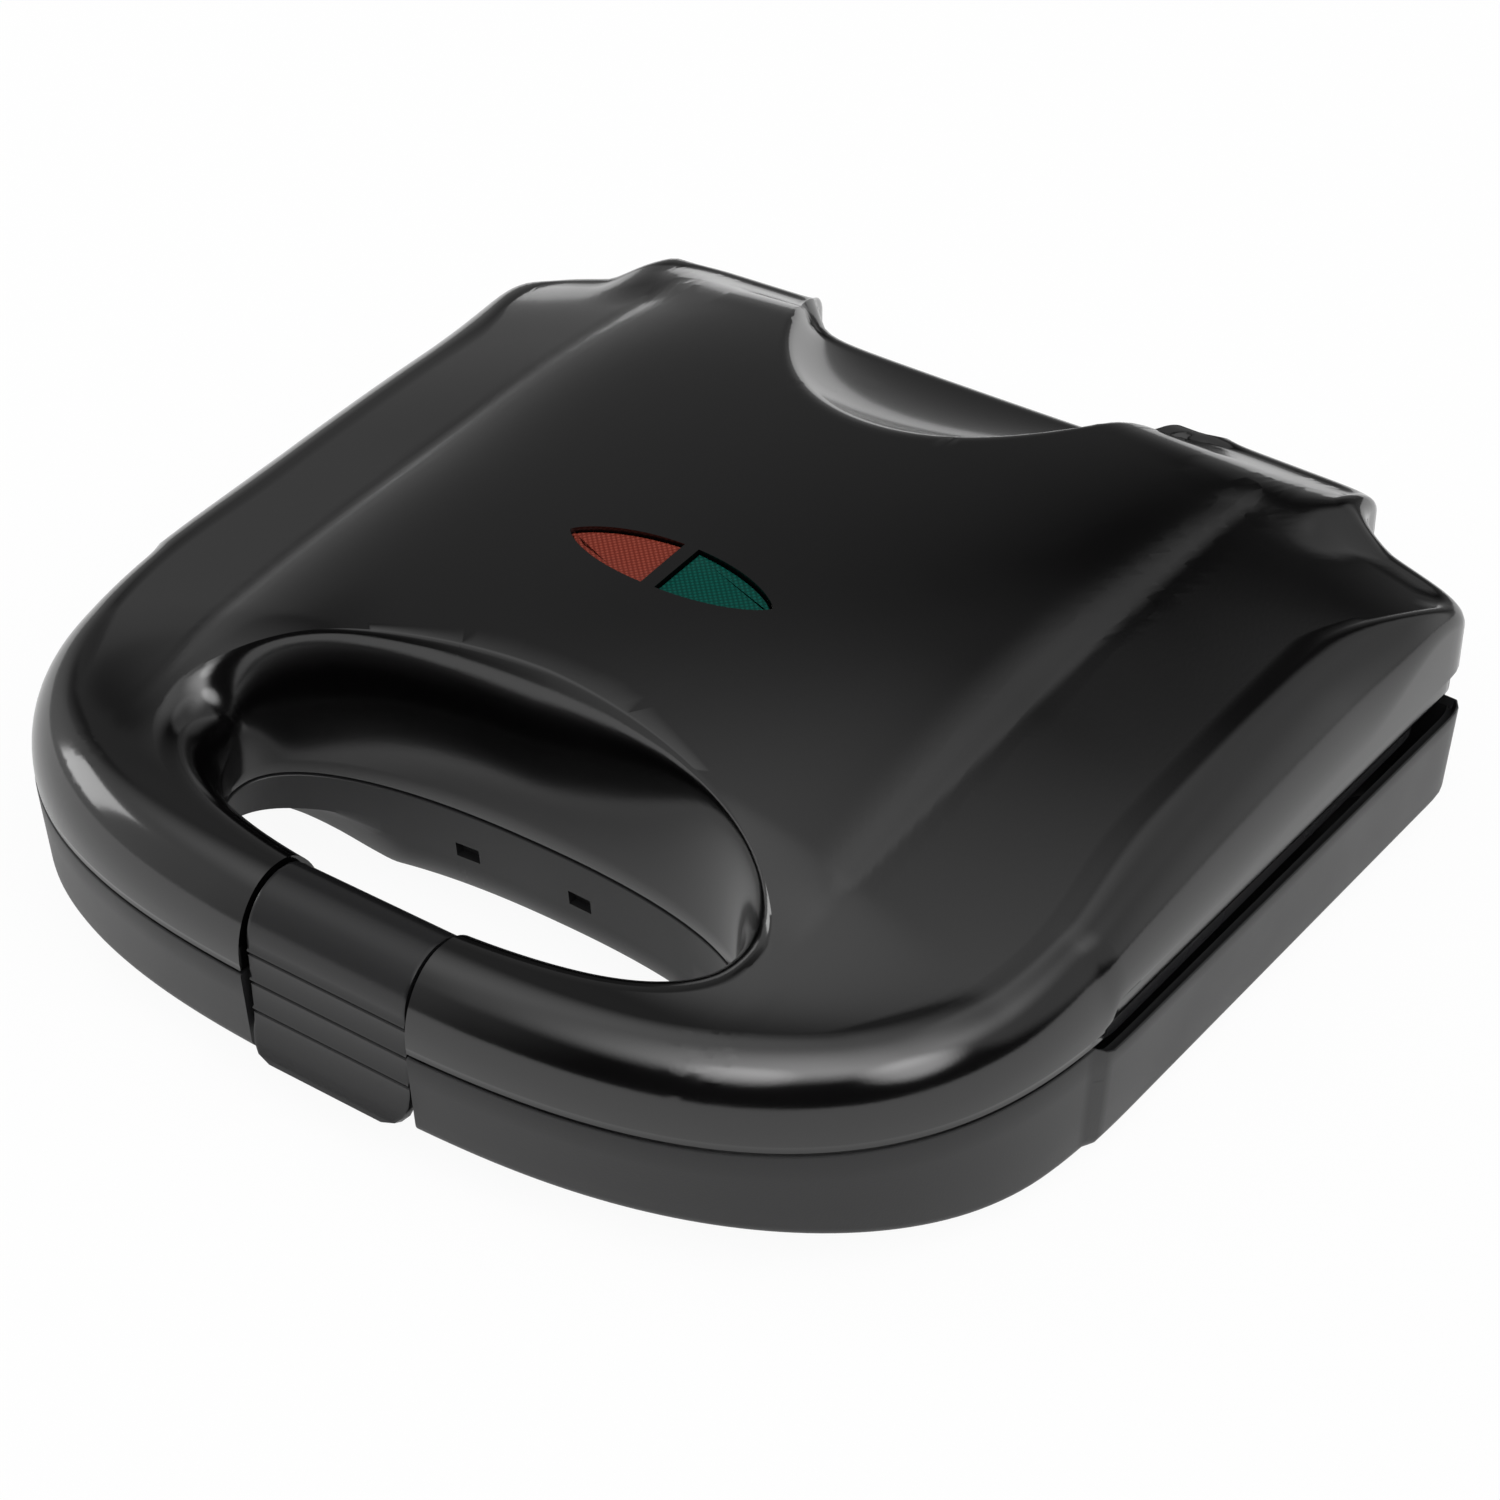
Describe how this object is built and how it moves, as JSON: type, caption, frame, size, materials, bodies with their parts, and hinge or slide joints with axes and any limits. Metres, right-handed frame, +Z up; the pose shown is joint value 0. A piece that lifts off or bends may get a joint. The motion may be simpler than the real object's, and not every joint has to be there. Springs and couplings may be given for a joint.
{
  "type": "doughnut maker",
  "caption": "Hinged electric maker for small ring doughnuts: glossy black lid, satin base, carrying handle with latch clip, two pilot lamps and heated ring-mould plates.",
  "frame": {"origin": "middle of the footprint, at the soles of the feet", "axes": "+Z up, +Y towards the hinge at the back, +X to the right seen from the handle; front is -Y"},
  "size_m": [0.2274, 0.2231, 0.07],
  "materials": {
    "gloss_shell": "gloss black",
    "satin_shell": "satin black",
    "clip_plastic": "satin black",
    "nonstick": "cast aluminium with a semi-gloss black non-stick coating",
    "heater_steel": "dull",
    "zinc_sheet": "bright zinc",
    "reflector_sheet": "bright mill finish",
    "screw_steel": "bright",
    "thermostat_metal": "satin",
    "fuse_body": "woven sleeve",
    "red_lens": "clear tinted",
    "green_lens": "clear tinted",
    "pale_moulding": "satin",
    "lamp_glass": "clear",
    "black_rubber": "matte"
  },
  "bodies": {
    "base": {"bottom_shell": "satin_shell", "base_inner_bezel": "satin_shell", "lower_plate": "nonstick", "lower_heating_element": "heater_steel", "lower_heater_clamps": "zinc_sheet", "lower_reflector": "reflector_sheet", "lower_plate_screws": "screw_steel", "terminal_block": "pale_moulding", "cable_gland": "black_rubber", "hinge_bracket_left": "zinc_sheet", "hinge_bracket_right": "zinc_sheet", "hinge_pin_left": "screw_steel", "hinge_pin_right": "screw_steel", "rubber_feet": "black_rubber", "foot_screws": "screw_steel"},
    "lid": {"top_cover": "gloss_shell", "lid_inner_bezel": "satin_shell", "upper_plate": "nonstick", "upper_heating_element": "heater_steel", "upper_heater_clamps": "zinc_sheet", "upper_reflector": "reflector_sheet", "upper_plate_screws": "screw_steel", "thermostat": "thermostat_metal", "thermal_fuse": "fuse_body", "red_lens": "red_lens", "green_lens": "green_lens", "lamp_holder": "pale_moulding", "neon_lamps": "lamp_glass", "latch_bracket": "satin_shell", "latch_pivot_pin": "screw_steel", "hinge_arm_left": "zinc_sheet", "hinge_arm_right": "zinc_sheet"},
    "latch": {"latch_clip": "clip_plastic"}
  },
  "joints": [
    {"name": "lid_hinge", "type": "hinge", "parent": "base", "child": "lid", "pos_m": [0, 0.099, 0.027], "axis": [-1, 0, 0], "range_deg": [0, 105]},
    {"name": "latch_hinge", "type": "hinge", "parent": "lid", "child": "latch", "pos_m": [0, -0.0985, 0.0385], "axis": [-1, 0, 0], "range_deg": [0, 30]}
  ]
}
